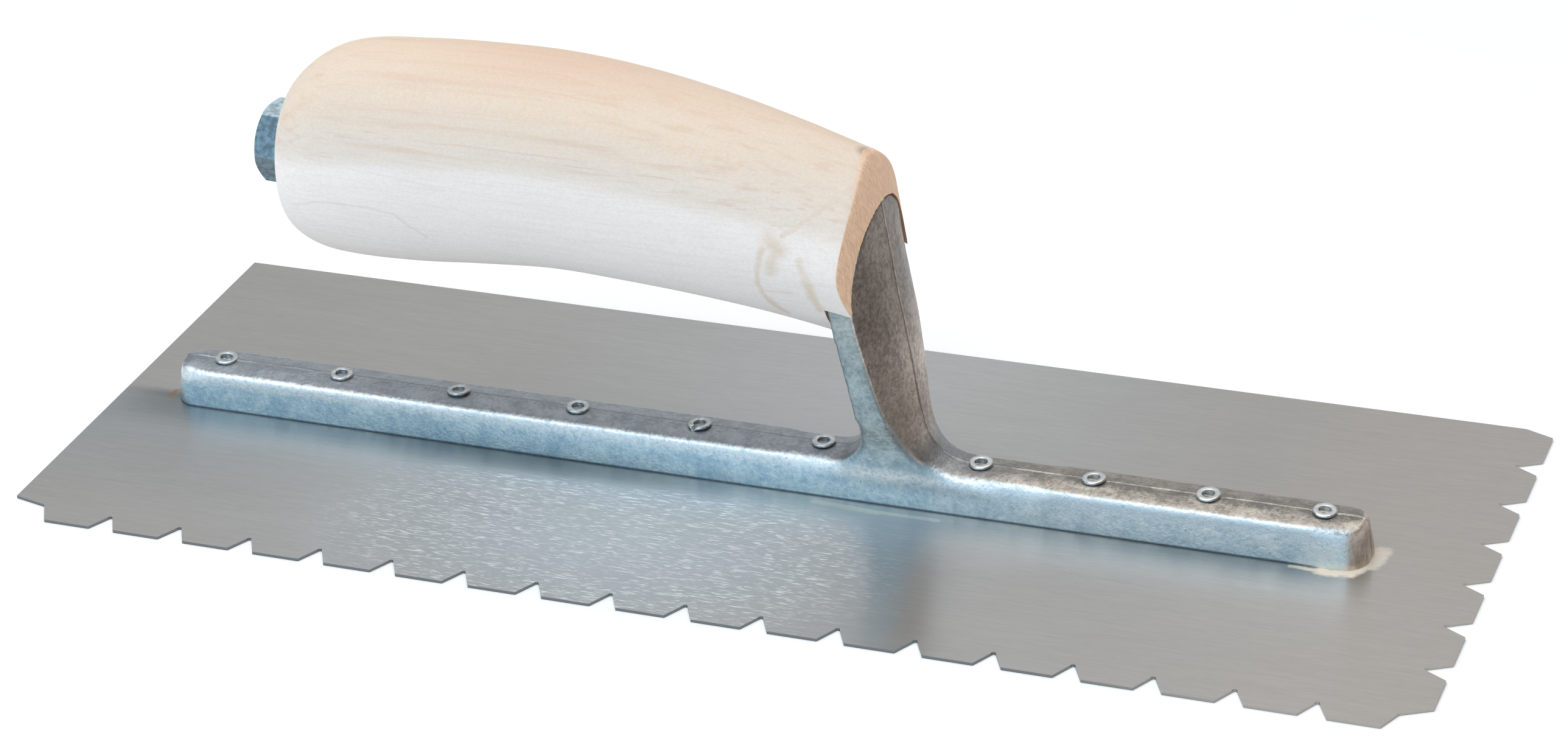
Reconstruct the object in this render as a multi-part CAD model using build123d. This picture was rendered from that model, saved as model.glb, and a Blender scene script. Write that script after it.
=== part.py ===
from build123d import *
import os
from math import cos, pi, radians, sin, sqrt

# Notched trowel: a steel blade with V notches along one long edge and one short edge,
# a cast aluminium mounting riveted along its middle, and a wooden camel-back handle
# clamped to the mounting's post by a stud and a hexagon nut.
# Millimetres. +Z up, +X along the blade towards the notched short edge, -Y towards
# the notched long edge. The origin is the middle of the blade's underside.

os.makedirs("parts", exist_ok=True)

# Blade
BLADE_LENGTH = 280.4
BLADE_WIDTH = 108.9
BLADE_THICKNESS = 0.6
NOTCH_PITCH = 14.91
NOTCH_DEPTH = 4.97
NOTCH_ROOT_RADIUS = 0.4
LONG_LAND = 9.58
LONG_LANDS = 18
LONG_FIRST_LAND = 9.7
SHORT_LAND = 9.40
SHORT_LANDS = 7
SHORT_FIRST_LAND = 7.87
FREE_EDGE_LEAN = 1.05
FREE_CORNER_RISE = 6.78
FREE_NOTCH_INSET = 6.94
FREE_NOTCH_DEPTH = 5.17
INNER_NOTCH_INSET = (5.5, 4.88)
FAR_NOTCH_INSET = 5.6

# Mounting: the rib that lies on the blade
RIB_START = -128.0
RIB_END = 118.0
RIB_WIDTH = 13.0
RIB_TOP = 9.0
RIB_SHOULDER = 6.6
RIB_DRAFT = 0.45
RIB_SHOULDER_INSET = 3.4
RIB_SHOULDER_TOP = 8.62
RIB_CORNER_RADIUS = 5.5
RIB_END_TAPER = 8.0
OVERCUT = 1.0

# Mounting: the post and its foot, as (height, half width, back, edge, crown). Back, edge
# and crown are distances along X: the back face, where the front face meets the sides,
# and the front face's middle.
POST_STATIONS = [
    (14.0, 8.4, 20.2, 29.9, 31.7),
    (17.0, 9.8, 20.9, 28.8, 30.9),
    (20.0, 11.1, 21.2, 28.0, 30.3),
    (28.0, 13.5, 20.9, 26.3, 29.2),
    (36.0, 14.8, 19.9, 24.7, 28.0),
    (46.0, 15.5, 18.4, 22.7, 26.4),
    (55.0, 15.6, 18.2, 21.9, 25.2),
    (64.0, 15.6, 18.2, 20.9, 24.0),
]
FOOT_STATIONS = [
    (5.0, 5.9, 10.5, 48.0, 49.0),
    (6.6, 5.95, 12.5, 43.0, 45.0),
    (8.0, 6.05, 14.6, 36.4, 41.0),
    (9.0, 6.35, 16.0, 33.9, 37.6),
    (10.2, 6.8, 17.4, 32.3, 35.0),
    (12.0, 7.5, 19.0, 31.0, 32.8),
    (14.0, 8.4, 20.2, 29.9, 31.7),
]
POST_BACK_CROWN = 0.15
POST_ARCH_SPRING = 44.0
POST_ARCH_TOP = 62.3
POST_ARCH_HALF_WIDTH = 15.5
ARCH_REACH = 60.0
BOSS_DIAMETER = 14.0
BOSS_LENGTH = 8.0
BOSS_ROOT = 2.0
BOSS_CLEARANCE = 0.3

# Rivets
RIVET_LEFT_FIRST = -117.4
RIVET_LEFT_PITCH = 25.54
RIVET_LEFT_COUNT = 6
RIVET_RIGHT_FIRST = 42.0
RIVET_RIGHT_PITCH = 22.23
RIVET_RIGHT_COUNT = 4
RIVET_SHANK_RADIUS = 1.7
RIVET_BORE_RADIUS = 1.1
RIVET_BORE_FLOOR = 3.0
RIVET_HEAD_RADIUS = 3.4
RIVET_RING_RADIUS = 2.32
RIVET_SEAT = 8.8
RIVET_SEAT_RADIUS = 2.6
RIVET_TOP = 9.75
RING_FOOT_INSET = 0.3

# Handle, as (x, underside, top, half width, height of the widest place above the
# underside as a share of the section's height, roundness above and below that place)
HANDLE_STATIONS = [
    (-94.4, 41.6, 76.8, 16.6, 0.47, 2.17, 2.17),
    (-82.0, 39.9, 82.0, 17.3, 0.47, 2.17, 2.17),
    (-68.0, 40.1, 83.6, 17.8, 0.47, 2.17, 2.17),
    (-54.0, 41.4, 84.1, 18.2, 0.47, 2.17, 2.17),
    (-39.0, 42.4, 83.9, 18.3, 0.47, 2.17, 2.17),
    (-24.0, 41.8, 82.2, 18.3, 0.47, 2.17, 2.17),
    (-9.0, 40.3, 79.6, 18.2, 0.48, 2.0, 2.05),
    (6.0, 37.8, 76.5, 17.9, 0.49, 1.72, 1.85),
    (20.0, 34.7, 72.8, 17.7, 0.492, 1.52, 1.7),
    (27.0, 33.1, 70.6, 17.5, 0.495, 1.5, 1.7),
]
HANDLE_REAR_RADIUS = 5.5
HANDLE_OUTLINE_POINTS = 24
# The handle's front end is dressed to the same leaning curve as the post's front face.
FRONT_CURVE_RADIUS = 38.0
FRONT_CURVE_LEAN = 7.6
FRONT_CURVE_HEIGHT = 55.0
FRONT_CURVE_X = 25.2
FRONT_BLOCK = 60.0
POCKET_WALL = 17.9
POCKET_CLEARANCE = 0.25
POCKET_REACH = 20.0

# Stud, nut and washer, on one axis that drops towards the post
STUD_TILT = 3.0
STUD_REAR = (-101.0, 60.1)
STUD_RADIUS = 4.6
STUD_IN_POST = 4.5
STUD_TIP_GAP = 0.5
DRILL_START = -15.0
DRILL_LENGTH = 150.0
STUD_CHAMFER = 0.8
HANDLE_BORE_RADIUS = 5.1
NUT_ACROSS_FLATS = 14.2
NUT_HEIGHT = 8.2
NUT_SETBACK = -0.6
NUT_CHAMFER = 0.6
NUT_CHAMFER_WIDTH = 1.1
WASHER_RADIUS = 10.2
WASHER_HOLE_RADIUS = 5.0
WASHER_THICKNESS = 1.6
COUNTERBORE_RADIUS = 10.8

HALF_LENGTH = BLADE_LENGTH / 2
HALF_WIDTH = BLADE_WIDTH / 2


def blade_outline():
    """Corner points of the blade, and the notch roots among them."""
    opening = NOTCH_PITCH - LONG_LAND
    points = []
    roots = []
    near = -HALF_WIDTH
    free_root = (-HALF_LENGTH + FREE_NOTCH_INSET, near + FREE_NOTCH_DEPTH)
    points.append((-HALF_LENGTH, near + FREE_CORNER_RISE))
    points.append(free_root)
    roots.append(free_root)
    start = -HALF_LENGTH + LONG_FIRST_LAND
    for index in range(LONG_LANDS):
        left = start + index * NOTCH_PITCH
        points.append((left, near))
        points.append((left + LONG_LAND, near))
        if index < LONG_LANDS - 1:
            root = (left + LONG_LAND + opening / 2, near + NOTCH_DEPTH)
            points.append(root)
            roots.append(root)
    inner_root = (HALF_LENGTH - INNER_NOTCH_INSET[0], near + INNER_NOTCH_INSET[1])
    points.append(inner_root)
    roots.append(inner_root)
    opening = NOTCH_PITCH - SHORT_LAND
    for index in range(SHORT_LANDS):
        low = near + SHORT_FIRST_LAND + index * NOTCH_PITCH
        points.append((HALF_LENGTH, low))
        points.append((HALF_LENGTH, low + SHORT_LAND))
        if index < SHORT_LANDS - 1:
            root = (HALF_LENGTH - NOTCH_DEPTH, low + SHORT_LAND + opening / 2)
            points.append(root)
            roots.append(root)
    points.append((HALF_LENGTH - FAR_NOTCH_INSET, HALF_WIDTH))
    points.append((-HALF_LENGTH + FREE_EDGE_LEAN, HALF_WIDTH))
    return points, roots


def rivet_places():
    """X of every rivet: one row each side of the post."""
    left = [RIVET_LEFT_FIRST + i * RIVET_LEFT_PITCH for i in range(RIVET_LEFT_COUNT)]
    right = [RIVET_RIGHT_FIRST + i * RIVET_RIGHT_PITCH for i in range(RIVET_RIGHT_COUNT)]
    return left + right


def make_blade():
    points, roots = blade_outline()
    outline = make_face(Polyline(*points, close=True))
    corners = [
        vertex
        for vertex in outline.vertices()
        if any(abs(vertex.X - x) + abs(vertex.Y - y) < 0.01 for x, y in roots)
    ]
    outline = fillet(corners, NOTCH_ROOT_RADIUS)
    blade = extrude(outline, amount=BLADE_THICKNESS)
    for x in rivet_places():
        blade -= Pos(x, 0, BLADE_THICKNESS / 2) * Cone(
            RIVET_HEAD_RADIUS, RIVET_SHANK_RADIUS, BLADE_THICKNESS
        )
    return blade


def rib_section(width, height):
    """Half-round-shouldered section across the rib, in the YZ plane."""
    half = width / 2
    shoulder = half - RIB_DRAFT
    inset = half - RIB_SHOULDER_INSET
    base = BLADE_THICKNESS
    lines = Polyline((-shoulder, RIB_SHOULDER), (-half, base), (half, base), (shoulder, RIB_SHOULDER))
    right = Spline(
        (shoulder, RIB_SHOULDER),
        (inset, RIB_SHOULDER_TOP),
        tangents=((-0.1, 1.0), (-1.0, 0.14)),
    )
    crown = ThreePointArc((inset, RIB_SHOULDER_TOP), (0, height), (-inset, RIB_SHOULDER_TOP))
    left = Spline(
        (-inset, RIB_SHOULDER_TOP),
        (-shoulder, RIB_SHOULDER),
        tangents=((-1.0, -0.14), (-0.1, -1.0)),
    )
    return make_face(Plane.YZ * (lines + right + crown + left))


def make_rib():
    length = RIB_END - RIB_START
    rib = Pos(RIB_START, 0, 0) * extrude(rib_section(RIB_WIDTH, RIB_TOP), amount=length)
    middle = (RIB_START + RIB_END) / 2
    plan = Pos(middle, 0, 0) * RectangleRounded(length, RIB_WIDTH, RIB_CORNER_RADIUS)
    keep = extrude(plan, amount=RIB_TOP + OVERCUT, taper=RIB_END_TAPER)
    rib = rib & keep
    return rib


def post_section(half_width, back, edge, crown):
    """Crowned front, flat sides and an almost flat back, as seen from above."""
    front = ThreePointArc((edge, -half_width), (crown, 0), (edge, half_width))
    far_side = Line((edge, half_width), (back, half_width))
    rear = ThreePointArc((back, half_width), (back - POST_BACK_CROWN, 0), (back, -half_width))
    near_side = Line((back, -half_width), (edge, -half_width))
    return make_face(front + far_side + rear + near_side)


def arch_face(half_width, spring, top, foot):
    """Arch outline in the YZ plane: straight sides under half an ellipse."""
    curve = EllipticalCenterArc(
        (0, spring), half_width, top - spring, start_angle=0, arc_size=180
    )
    legs = Polyline((-half_width, spring), (-half_width, foot), (half_width, foot), (half_width, spring))
    return make_face(Plane.YZ * (curve + legs))


def stud_frame(distance):
    """Frame on the stud's axis, distance along it from its rear end, Z towards the post."""
    tilt = radians(STUD_TILT)
    along = (cos(tilt), 0, -sin(tilt))
    origin = (STUD_REAR[0] + distance * cos(tilt), 0, STUD_REAR[1] - distance * sin(tilt))
    return Plane(origin=origin, x_dir=(0, 1, 0), z_dir=along)


def stud_distance(x):
    """Distance along the stud's axis at which it crosses a given X."""
    return (x - STUD_REAR[0]) / cos(radians(STUD_TILT))


def stud_length():
    """From the nut's outer face into the post."""
    return stud_distance(POCKET_WALL) + STUD_IN_POST


def on_stud(solid, distance):
    """Place a solid built upwards from the XY plane on the stud's axis."""
    return stud_frame(distance) * solid


def disc(radius, height):
    return Cylinder(radius, height, align=(Align.CENTER, Align.CENTER, Align.MIN))


def post_loft(stations, ruled):
    """Solid through horizontal sections of the post or its foot."""
    sections = [
        Pos(0, 0, height) * post_section(half_width, back, edge, crown)
        for height, half_width, back, edge, crown in stations
    ]
    return loft(sections, ruled=ruled)


def make_mounting():
    """The casting: rib, foot, post and the boss that enters the handle."""
    arch = arch_face(POST_ARCH_HALF_WIDTH, POST_ARCH_SPRING, POST_ARCH_TOP, 0)
    post = post_loft(POST_STATIONS, False) & extrude(arch, amount=ARCH_REACH, dir=(1, 0, 0))
    boss_start = stud_distance(POCKET_WALL) - BOSS_LENGTH
    boss = on_stud(disc(BOSS_DIAMETER / 2, BOSS_LENGTH + BOSS_ROOT), boss_start)
    mounting = make_rib() + post_loft(FOOT_STATIONS, True) + post + boss
    for x in rivet_places():
        mounting -= Pos(x, 0, 0) * disc(RIVET_SHANK_RADIUS, RIB_TOP + OVERCUT)
        mounting -= Pos(x, 0, RIVET_SEAT) * disc(RIVET_SEAT_RADIUS, OVERCUT)
    mounting -= on_stud(disc(STUD_RADIUS, stud_length() + STUD_TIP_GAP), 0)
    return mounting


def make_rivet(x):
    """Tubular rivet: flush countersunk head, hollow shank and a rolled ring on top."""
    ring_height = RIVET_TOP - RIVET_SEAT
    ring_middle = (RIVET_BORE_RADIUS + RIVET_RING_RADIUS) / 2
    shank = Polyline(
        (RIVET_BORE_RADIUS, RIVET_SEAT + ring_height / 2),
        (RIVET_BORE_RADIUS, RIVET_BORE_FLOOR),
        (0, RIVET_BORE_FLOOR),
        (0, 0),
        (RIVET_HEAD_RADIUS, 0),
        (RIVET_SHANK_RADIUS, BLADE_THICKNESS),
        (RIVET_SHANK_RADIUS, RIVET_SEAT),
        (RIVET_RING_RADIUS - RING_FOOT_INSET, RIVET_SEAT),
        (RIVET_RING_RADIUS, RIVET_SEAT + ring_height / 2),
    )
    ring = ThreePointArc(
        (RIVET_RING_RADIUS, RIVET_SEAT + ring_height / 2),
        (ring_middle, RIVET_TOP),
        (RIVET_BORE_RADIUS, RIVET_SEAT + ring_height / 2),
    )
    profile = make_face(Plane.XZ * (shank + ring))
    return Pos(x, 0, 0) * revolve(profile, Axis.Z)


def handle_section(x, underside, top, half_width, widest_share, roundness_above, roundness_below):
    """Oval section across the handle: fuller than an ellipse at the rear, leaner near the front."""
    widest = underside + widest_share * (top - underside)
    points = []
    for index in range(HANDLE_OUTLINE_POINTS):
        angle = 2 * pi * index / HANDLE_OUTLINE_POINTS
        across = cos(angle)
        up = sin(angle)
        height = top - widest if up > 0 else widest - underside
        roundness = roundness_above if up > 0 else roundness_below
        sum_of_powers = abs(across) ** roundness + abs(up) ** roundness
        reach = sum_of_powers ** (-1 / roundness)
        y = half_width * reach * across
        z = widest + height * reach * up
        points.append((x, y, z))
    return make_face(Spline(*points, periodic=True))


def make_front_trim():
    """What lies in front of the leaning cylinder that dresses the handle's front end."""
    axis_x = FRONT_CURVE_X - FRONT_CURVE_RADIUS
    leaning = Pos(axis_x, 0, FRONT_CURVE_HEIGHT) * Rot(0, -FRONT_CURVE_LEAN, 0)
    curve = leaning * Cylinder(FRONT_CURVE_RADIUS, 2 * FRONT_BLOCK)
    block = Pos(FRONT_BLOCK / 2, 0, FRONT_CURVE_HEIGHT) * Box(FRONT_BLOCK, FRONT_BLOCK, FRONT_BLOCK)
    return block - curve


def make_handle():
    """Wooden grip with a pocket for the post's top and a bore for the stud."""
    handle = loft([handle_section(*station) for station in HANDLE_STATIONS])
    rear = handle.faces().sort_by(Axis.X)[0]
    handle = fillet(rear.edges(), HANDLE_REAR_RADIUS)
    handle -= make_front_trim()
    pocket_width = POST_ARCH_HALF_WIDTH + POCKET_CLEARANCE
    pocket = arch_face(pocket_width, POST_ARCH_SPRING, POST_ARCH_TOP + POCKET_CLEARANCE, 0)
    handle -= Pos(POCKET_WALL, 0, 0) * extrude(pocket, amount=POCKET_REACH, dir=(1, 0, 0))
    handle -= on_stud(disc(HANDLE_BORE_RADIUS, DRILL_LENGTH), DRILL_START)
    boss_start = stud_distance(POCKET_WALL) - BOSS_LENGTH - BOSS_CLEARANCE
    boss_room = disc(BOSS_DIAMETER / 2 + BOSS_CLEARANCE, BOSS_LENGTH + POCKET_REACH)
    handle -= on_stud(boss_room, boss_start)
    seat = nut_seat() + WASHER_THICKNESS
    handle -= on_stud(disc(COUNTERBORE_RADIUS, seat - DRILL_START), DRILL_START)
    return handle


def nut_seat():
    """Distance along the stud's axis from its rear end to the nut's inner face."""
    return NUT_SETBACK + NUT_HEIGHT


def make_stud():
    stud = disc(STUD_RADIUS, stud_length())
    stud = chamfer(stud.edges().sort_by(Axis.Z)[0], STUD_CHAMFER)
    return on_stud(stud, 0)


def make_nut():
    """Hexagon nut with both corners of its flats chamfered, one corner facing -Y."""
    hexagon = RegularPolygon(NUT_ACROSS_FLATS / 2, 6, major_radius=False)
    blank = extrude(hexagon, amount=NUT_HEIGHT)
    corner_radius = NUT_ACROSS_FLATS / sqrt(3)
    turned = chamfer(disc(corner_radius, NUT_HEIGHT).edges(), NUT_CHAMFER, NUT_CHAMFER_WIDTH)
    nut = blank & turned
    nut -= disc(STUD_RADIUS, NUT_HEIGHT)
    return on_stud(nut, NUT_SETBACK)


def make_washer():
    washer = disc(WASHER_RADIUS, WASHER_THICKNESS) - disc(WASHER_HOLE_RADIUS, WASHER_THICKNESS)
    return on_stud(washer, nut_seat())


def save(solid, name):
    solid.label = name
    export_step(solid, f"parts/{name}.step")
    print(name, round(solid.volume, 1), solid.is_valid)


save(make_blade(), "blade")
save(make_mounting(), "mounting")
for number, place in enumerate(rivet_places(), start=1):
    save(make_rivet(place), f"rivet_{number:02d}")
save(make_handle(), "handle")
save(make_stud(), "stud")
save(make_washer(), "washer")
save(make_nut(), "nut")
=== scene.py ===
"""Looks of the notched trowel: meshes, materials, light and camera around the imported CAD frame."""

import math

import bmesh
import bpy
import numpy as np
from mathutils import Matrix, Vector, noise


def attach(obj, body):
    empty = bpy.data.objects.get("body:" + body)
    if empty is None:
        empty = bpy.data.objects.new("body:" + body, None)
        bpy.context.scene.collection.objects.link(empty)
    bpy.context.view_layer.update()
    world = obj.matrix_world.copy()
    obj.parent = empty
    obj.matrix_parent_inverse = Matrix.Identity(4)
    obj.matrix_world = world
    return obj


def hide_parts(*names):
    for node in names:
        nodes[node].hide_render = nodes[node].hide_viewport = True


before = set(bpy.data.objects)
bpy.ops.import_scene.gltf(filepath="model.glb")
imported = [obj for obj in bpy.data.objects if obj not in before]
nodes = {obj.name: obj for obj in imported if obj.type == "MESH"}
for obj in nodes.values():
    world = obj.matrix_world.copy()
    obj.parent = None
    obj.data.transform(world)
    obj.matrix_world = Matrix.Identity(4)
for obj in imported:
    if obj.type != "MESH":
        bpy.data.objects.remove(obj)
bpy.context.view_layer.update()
MM = 0.001

# ---------------------------------------------------------------- sizes in millimetres

# Sections across the handle: x, underside, top, half width, the share of its height at
# which it is widest, and the roundness above and below that place.
HANDLE_STATIONS = np.array(
    [
        (-94.4, 41.6, 76.8, 16.6, 0.47, 2.17, 2.17),
        (-82.0, 39.9, 82.0, 17.3, 0.47, 2.17, 2.17),
        (-68.0, 40.1, 83.6, 17.8, 0.47, 2.17, 2.17),
        (-54.0, 41.4, 84.1, 18.2, 0.47, 2.17, 2.17),
        (-39.0, 42.4, 83.9, 18.3, 0.47, 2.17, 2.17),
        (-24.0, 41.8, 82.2, 18.3, 0.47, 2.17, 2.17),
        (-9.0, 40.3, 79.6, 18.2, 0.48, 2.0, 2.05),
        (6.0, 37.8, 76.5, 17.9, 0.49, 1.72, 1.85),
        (20.0, 34.7, 72.8, 17.7, 0.492, 1.52, 1.7),
        (27.0, 33.1, 70.6, 17.5, 0.495, 1.5, 1.7),
    ]
)
# The rear end's place, how long its rounding is and the height of its middle.
REAR_X = -94.4
REAR_ROUND = 10.1
REAR_CENTRE_Z = 60.0
# The rear end draws in to this share of the section, along a curve of this power.
REAR_SMALLEST = 0.72
REAR_POWER = 2.2
# Both end caps are closed by rings at these shares of the section.
REAR_CAP_SHARES = (0.02, 0.25, 0.45, 0.6, 0.68)
FRONT_CAP_SHARES = (0.988, 0.96, 0.9, 0.8, 0.6, 0.4, 0.2, 0.02)
# Where the front's rings start to lean with the dressed end, and the height of its middle.
FRONT_START = -2.0
FRONT_MIDDLE_Z = 54.0
# The dressed end's edge: its rounding, what the crown adds, the depth of its torn fibres
# and the gap to the ring before it.
EDGE_ROUNDING = 0.12
CROWN_ROUNDING = 0.5
EDGE_TEAR = 0.35
EDGE_GAP = 0.5
# Points round the handle, and rings along its rear end, its middle and its front.
AROUND = 200
REAR_RINGS = 22
MIDDLE_RINGS = 90
FRONT_RINGS = 32
# The pocket for the post: its wall, half width, where its arch springs, the arch's top, how
# low its cutter reaches and the height that its torn fibres point to.
POCKET_WALL = 17.9
POCKET_HALF_WIDTH = 15.75
POCKET_SPRING = 44.0
POCKET_TOP = 62.55
POCKET_FLOOR = 20.0
POCKET_MIDDLE = 45.0
# The pocket's outlines: how far in front of its wall each lies, and how torn it is.
POCKET_OUTLINES = ((0, 0.05), (2.5, 0.15), (4, 0.35), (14, 0.35))
# The dark inside of the pocket reaches this far past its top and its sides.
POCKET_MARGIN_TOP = 0.4
POCKET_MARGIN_SIDE = 0.3
# The stud's bore as distance along it and radius.
BORE_PROFILE = [
    (-20, 0.1),
    (-20, 10.8),
    (9.2, 10.8),
    (9.2, 5.1),
    (110.8, 5.1),
    (110.8, 7.3),
    (122, 7.3),
    (122, 0.1),
]
# The leaning cylinder that the handle's front end and the post's front face share.
CURVE_RADIUS = 38.0
CURVE_AXIS_X = -12.8
CURVE_HEIGHT = 55.0
CURVE_LEAN = math.radians(7.6)
# Above this height the dressed end curves back, by this much per square millimetre.
TOP_DRESSING_START = 58.0
TOP_DRESSING = 0.005
# Edges sharper than this are kept sharp in the handle's shading.
HANDLE_SHARP_ANGLE = math.radians(40)

# ---------------------------------------------------------------- shader graphs


class Graph:
    """A node tree built with short calls, where a number and a socket are fed the same way."""

    def __init__(self, tree):
        self.tree = tree
        tree.nodes.clear()

    def feed(self, socket, value):
        if isinstance(value, bpy.types.NodeSocket):
            self.tree.links.new(value, socket)
        else:
            socket.default_value = value

    def node(self, kind, inputs=(), **settings):
        made = self.tree.nodes.new("ShaderNode" + kind)
        for key, value in settings.items():
            setattr(made, key, value)
        for name, value in dict(inputs).items():
            self.feed(made.inputs[name], value)
        return made

    def math(self, operation, a, b=0.0, clamp=False):
        made = self.node("Math", {0: a, 1: b}, operation=operation, use_clamp=clamp)
        return made.outputs[0]

    def times(self, first, *others):
        for other in others:
            first = self.math("MULTIPLY", first, other)
        return first

    def plus(self, first, *others):
        for other in others:
            first = self.math("ADD", first, other)
        return first

    def minus(self, a, b):
        return self.math("SUBTRACT", a, b)

    def sway(self, value, amount):
        """A noise value turned into a shift of up to half of amount either way."""
        return self.times(self.minus(value, 0.5), amount)

    def place(self, stretch=(1, 1, 1), shift=(0, 0, 0)):
        """Position in the row frame in millimetres, times stretch."""
        where = self.node("TexCoord").outputs["Object"]
        scale = [s / MM for s in stretch]
        return self.node("Mapping", {"Vector": where, "Scale": scale, "Location": shift}).outputs[0]

    def axes(self, vector):
        return self.node("SeparateXYZ", {0: vector}).outputs

    def noise(self, stretch, detail, rough, shift=(0, 0, 0)):
        """Noise with about one feature per millimetre times stretch, from 0 to 1."""
        where = self.place(stretch, shift)
        inputs = {"Vector": where, "Scale": 1.0, "Detail": detail, "Roughness": rough}
        return self.node("TexNoise", inputs).outputs[0]

    def ramp(self, value, low, high, start=0.0, end=1.0):
        """Smooth step: start below low, end above high."""
        inputs = {"Value": value, "From Min": low, "From Max": high, "To Min": start, "To Max": end}
        return self.node("MapRange", inputs, interpolation_type="SMOOTHSTEP").outputs[0]

    def line(self, value, centre, width):
        """1 where value is centre, falling to 0 at width to either side."""
        distance = self.math("ABSOLUTE", self.minus(value, centre))
        return self.ramp(distance, 0.0, width, 1.0, 0.0)

    def mix(self, factor, a, b, blend="MIX"):
        made = self.node("Mix", data_type="RGBA", blend_type=blend)
        for socket, value in zip((0, 6, 7), (factor, a, b)):
            self.feed(made.inputs[socket], value)
        return made.outputs[2]

    def tint(self, colour, shade):
        """Colour times a grey shade."""
        grey = self.node("CombineColor", {0: shade, 1: shade, 2: shade}).outputs[0]
        return self.mix(1.0, colour, grey, "MULTIPLY")

    def stroke(self, u, v, start, end, width):
        """1 on the line from start to end in the plane of u and v, falling to 0 at width."""
        run = Vector((end[0] - start[0], end[1] - start[1], 0))
        here = self.node("CombineXYZ", {0: u, 1: v, 2: 0.0}).outputs[0]
        origin = (start[0], start[1], 0)
        shifted = self.node("VectorMath", {0: here, 1: origin}, operation="SUBTRACT").outputs[0]
        inputs = {0: shifted, 1: run / run.length_squared}
        share = self.node("VectorMath", inputs, operation="DOT_PRODUCT").outputs["Value"]
        share = self.math("ADD", share, 0.0, clamp=True)
        along = self.node("VectorMath", {0: run, "Scale": share}, operation="SCALE").outputs[0]
        away = self.node("VectorMath", {0: shifted, 1: along}, operation="DISTANCE")
        return self.ramp(away.outputs["Value"], 0.0, width, 1.0, 0.0)

    def strokes(self, u, v, rows):
        """The strongest of several strokes, given as rows of start, end, half width."""
        strongest = 0.0
        for start, end, width in rows:
            strongest = self.math("MAXIMUM", strongest, self.stroke(u, v, start, end, width))
        return strongest

    def pocket_depth(self, y, z):
        """1 inside the outline of the handle's pocket for the post, falling to 0 outside it."""
        up = self.math("MAXIMUM", self.minus(z, POCKET_SPRING), 0.0)
        up = self.math("DIVIDE", up, POCKET_TOP + POCKET_MARGIN_TOP - POCKET_SPRING)
        side = self.math("DIVIDE", y, POCKET_HALF_WIDTH + POCKET_MARGIN_SIDE)
        reach = self.plus(self.times(up, up), self.times(side, side))
        return self.ramp(reach, 1.05, 0.98)

    def bump(self, height, depth):
        """Bump whose height from 0 to 1 stands for depth in millimetres."""
        inputs = {"Height": height, "Distance": depth * MM, "Strength": 1.0}
        return self.node("Bump", inputs).outputs[0]

    def facing(self, which="True Normal"):
        """The surface normal's x, y and z."""
        return self.axes(self.node("NewGeometry").outputs[which])


# ---------------------------------------------------------------- colours


def rgb(red, green, blue):
    return (red, green, blue, 1.0)


STEEL_DARK = rgb(0.43, 0.42, 0.405)
STEEL_LIGHT = rgb(0.485, 0.485, 0.48)
STEEL_WARM = rgb(0.44, 0.415, 0.39)
STEEL_COOL = rgb(0.50, 0.53, 0.55)
# Painted shade: the dark band on the blade in front of the rib, standing for the rib's shadow and
# dark reflection.
STEEL_SHADE_BY_RIB = rgb(0.14, 0.155, 0.16)
STEEL_CORNER = rgb(0.35, 0.39, 0.415)
# Painted sheen: reflected light painted blue-white in the middle of the blade's front half.
STEEL_PAINTED_SHEEN = rgb(0.60, 0.69, 0.76)
# Painted glint on the short brushing dashes.
STEEL_PAINTED_GLINT = rgb(0.94, 0.99, 1.0)
STEEL_SCRATCH = rgb(0.30, 0.31, 0.32)
# Painted shade on the blade's cut edges: dark grey on the left, warm grey on the right.
STEEL_EDGE_SHADE_LEFT = rgb(0.19, 0.20, 0.205)
STEEL_EDGE_SHADE_RIGHT = rgb(0.42, 0.385, 0.35)
GLUE = rgb(0.78, 0.68, 0.54)
SMEAR = rgb(0.50, 0.46, 0.39)
BLADE_RUST = rgb(0.32, 0.19, 0.10)

RAW_LEFT = rgb(0.30, 0.33, 0.36)
RAW_RIGHT = rgb(0.235, 0.225, 0.21)
RAW_POST_FOOT = rgb(0.60, 0.505, 0.44)
RAW_POST_TOP = rgb(0.195, 0.16, 0.135)
# Dark and light of the ground flanks, with a painted blue reflection of the cool light in front.
GROUND_LEFT = (rgb(0.46, 0.65, 0.77), rgb(0.82, 0.98, 1.0))
GROUND_RIGHT = (rgb(0.60, 0.68, 0.70), rgb(0.89, 0.93, 0.92))
GROUND_POST = (rgb(0.22, 0.255, 0.25), rgb(0.415, 0.465, 0.455))
# Painted highlight along the rib's rounded top front edge: blue-white on the left, greyer on the
# right.
SHOULDER_HIGHLIGHT_LEFT = rgb(0.98, 1.0, 1.0)
SHOULDER_HIGHLIGHT_RIGHT = rgb(0.78, 0.86, 0.91)
# Painted highlight: a warm beige band along the top front edge of the rib's right half.
UPPER_EDGE_HIGHLIGHT = rgb(0.50, 0.45, 0.39)
TOP_PATCH = rgb(0.56, 0.53, 0.48)
# Painted highlight on the post's edges, where its flanks turn.
POST_RIM_HIGHLIGHT = rgb(0.86, 0.84, 0.80)
PARTING_RUST = rgb(0.17, 0.10, 0.06)
PARTING_LIGHT = rgb(0.62, 0.58, 0.54)
RIB_SEAM = rgb(0.13, 0.12, 0.12)
CAST_PIT = rgb(0.12, 0.11, 0.11)
END_CRUST = rgb(0.74, 0.66, 0.50)
RIB_TIP = (rgb(0.66, 0.575, 0.50), rgb(0.82, 0.73, 0.645))
RIB_RUST = rgb(0.30, 0.18, 0.10)
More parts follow.
